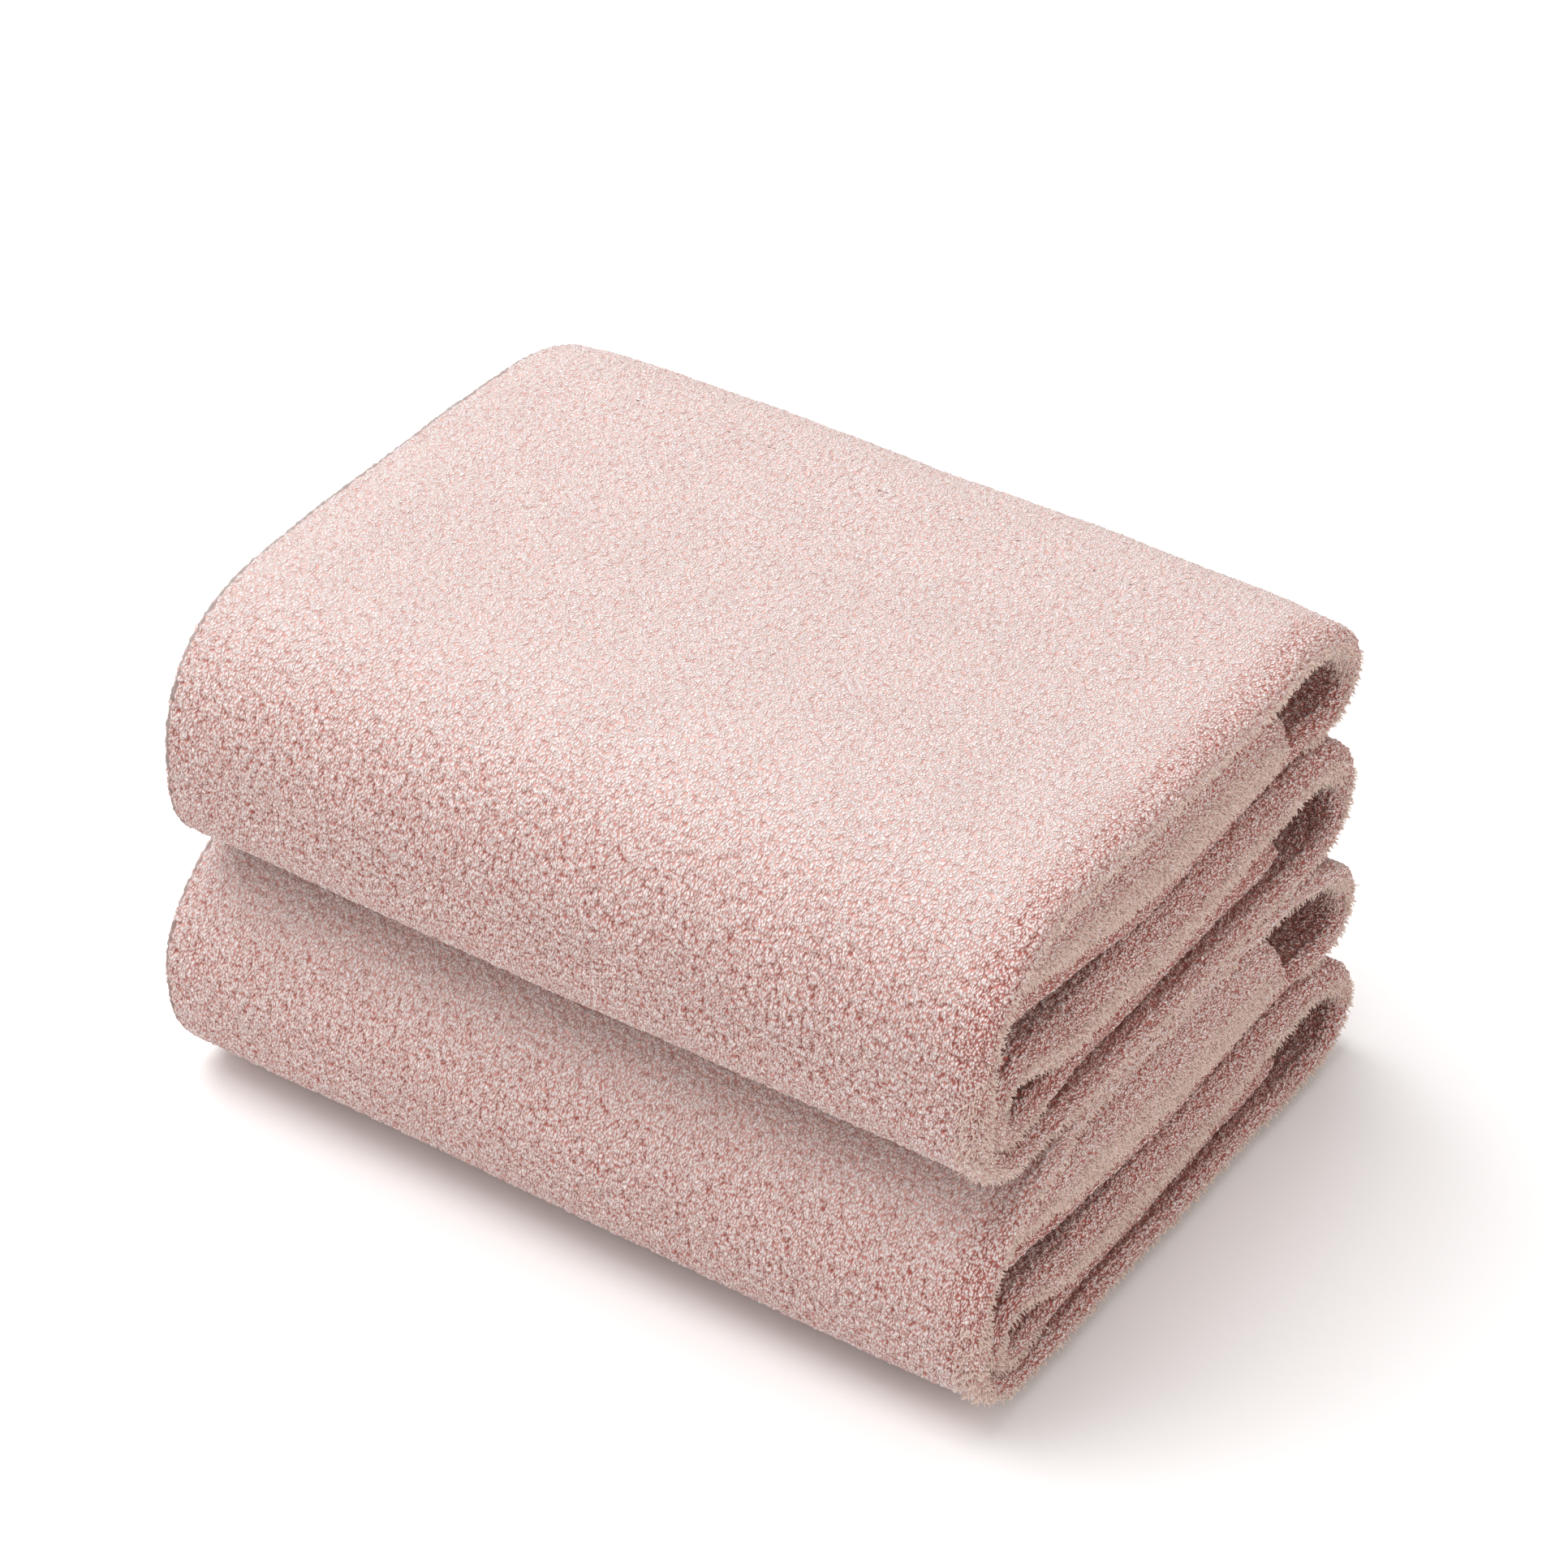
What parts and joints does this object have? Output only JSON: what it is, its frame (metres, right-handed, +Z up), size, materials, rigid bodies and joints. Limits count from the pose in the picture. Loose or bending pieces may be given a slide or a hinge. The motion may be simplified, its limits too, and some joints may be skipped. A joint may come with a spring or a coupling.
{
  "type": "folded bath towel set",
  "caption": "Stack of folded plush bath towels; each opens like a book about its rolled front edge, and the top towel lifts off.",
  "frame": {"origin": "centre of the stack's bottom face, on the surface it rests on", "axes": "+X along the folded towel towards the end that shows the ply folds, +Y from the front roll to the back folds, +Z up"},
  "size_m": [0.35, 0.256, 0.2063],
  "materials": {
    "outer_pile": "thick plush pile, pale rose, matt with a soft sheen",
    "inner_pile": "the same pile in the shade between the panels",
    "hem_band": "turned hem in the towel's own cloth, stitched in matching thread"
  },
  "bodies": {
    "lower_base": {"lower_base_outer_panel": "outer_pile", "lower_base_back_fold": "outer_pile", "lower_base_inner_panel": "inner_pile", "lower_base_inner_fold": "inner_pile", "lower_base_end_panel": "inner_pile", "lower_base_end_hem": "hem_band"},
    "lower_flap": {"lower_flap_outer_panel": "outer_pile", "lower_flap_back_fold": "outer_pile", "lower_flap_inner_panel": "inner_pile", "lower_flap_inner_fold": "inner_pile", "lower_flap_end_panel": "inner_pile", "lower_flap_end_hem": "hem_band"},
    "upper_base": {"upper_base_outer_panel": "outer_pile", "upper_base_back_fold": "outer_pile", "upper_base_inner_panel": "inner_pile", "upper_base_inner_fold": "inner_pile", "upper_base_end_panel": "inner_pile", "upper_base_end_hem": "hem_band"},
    "upper_flap": {"upper_flap_outer_panel": "outer_pile", "upper_flap_back_fold": "outer_pile", "upper_flap_inner_panel": "inner_pile", "upper_flap_inner_fold": "inner_pile", "upper_flap_end_panel": "inner_pile", "upper_flap_end_hem": "hem_band"}
  },
  "joints": [
    {"name": "lower_towel_fold", "type": "hinge", "parent": "lower_base", "child": "lower_flap", "pos_m": [0, -0.128, 0.048], "axis": [1, 0, 0], "range_deg": [0, 35]},
    {"name": "upper_towel_lift", "type": "slide", "parent": "lower_flap", "child": "upper_base", "axis": [0, 0, 1], "range_m": [0, 0.25]},
    {"name": "upper_towel_fold", "type": "hinge", "parent": "upper_base", "child": "upper_flap", "pos_m": [0, -0.128, 0.1513], "axis": [1, 0, 0], "range_deg": [0, 100]}
  ]
}
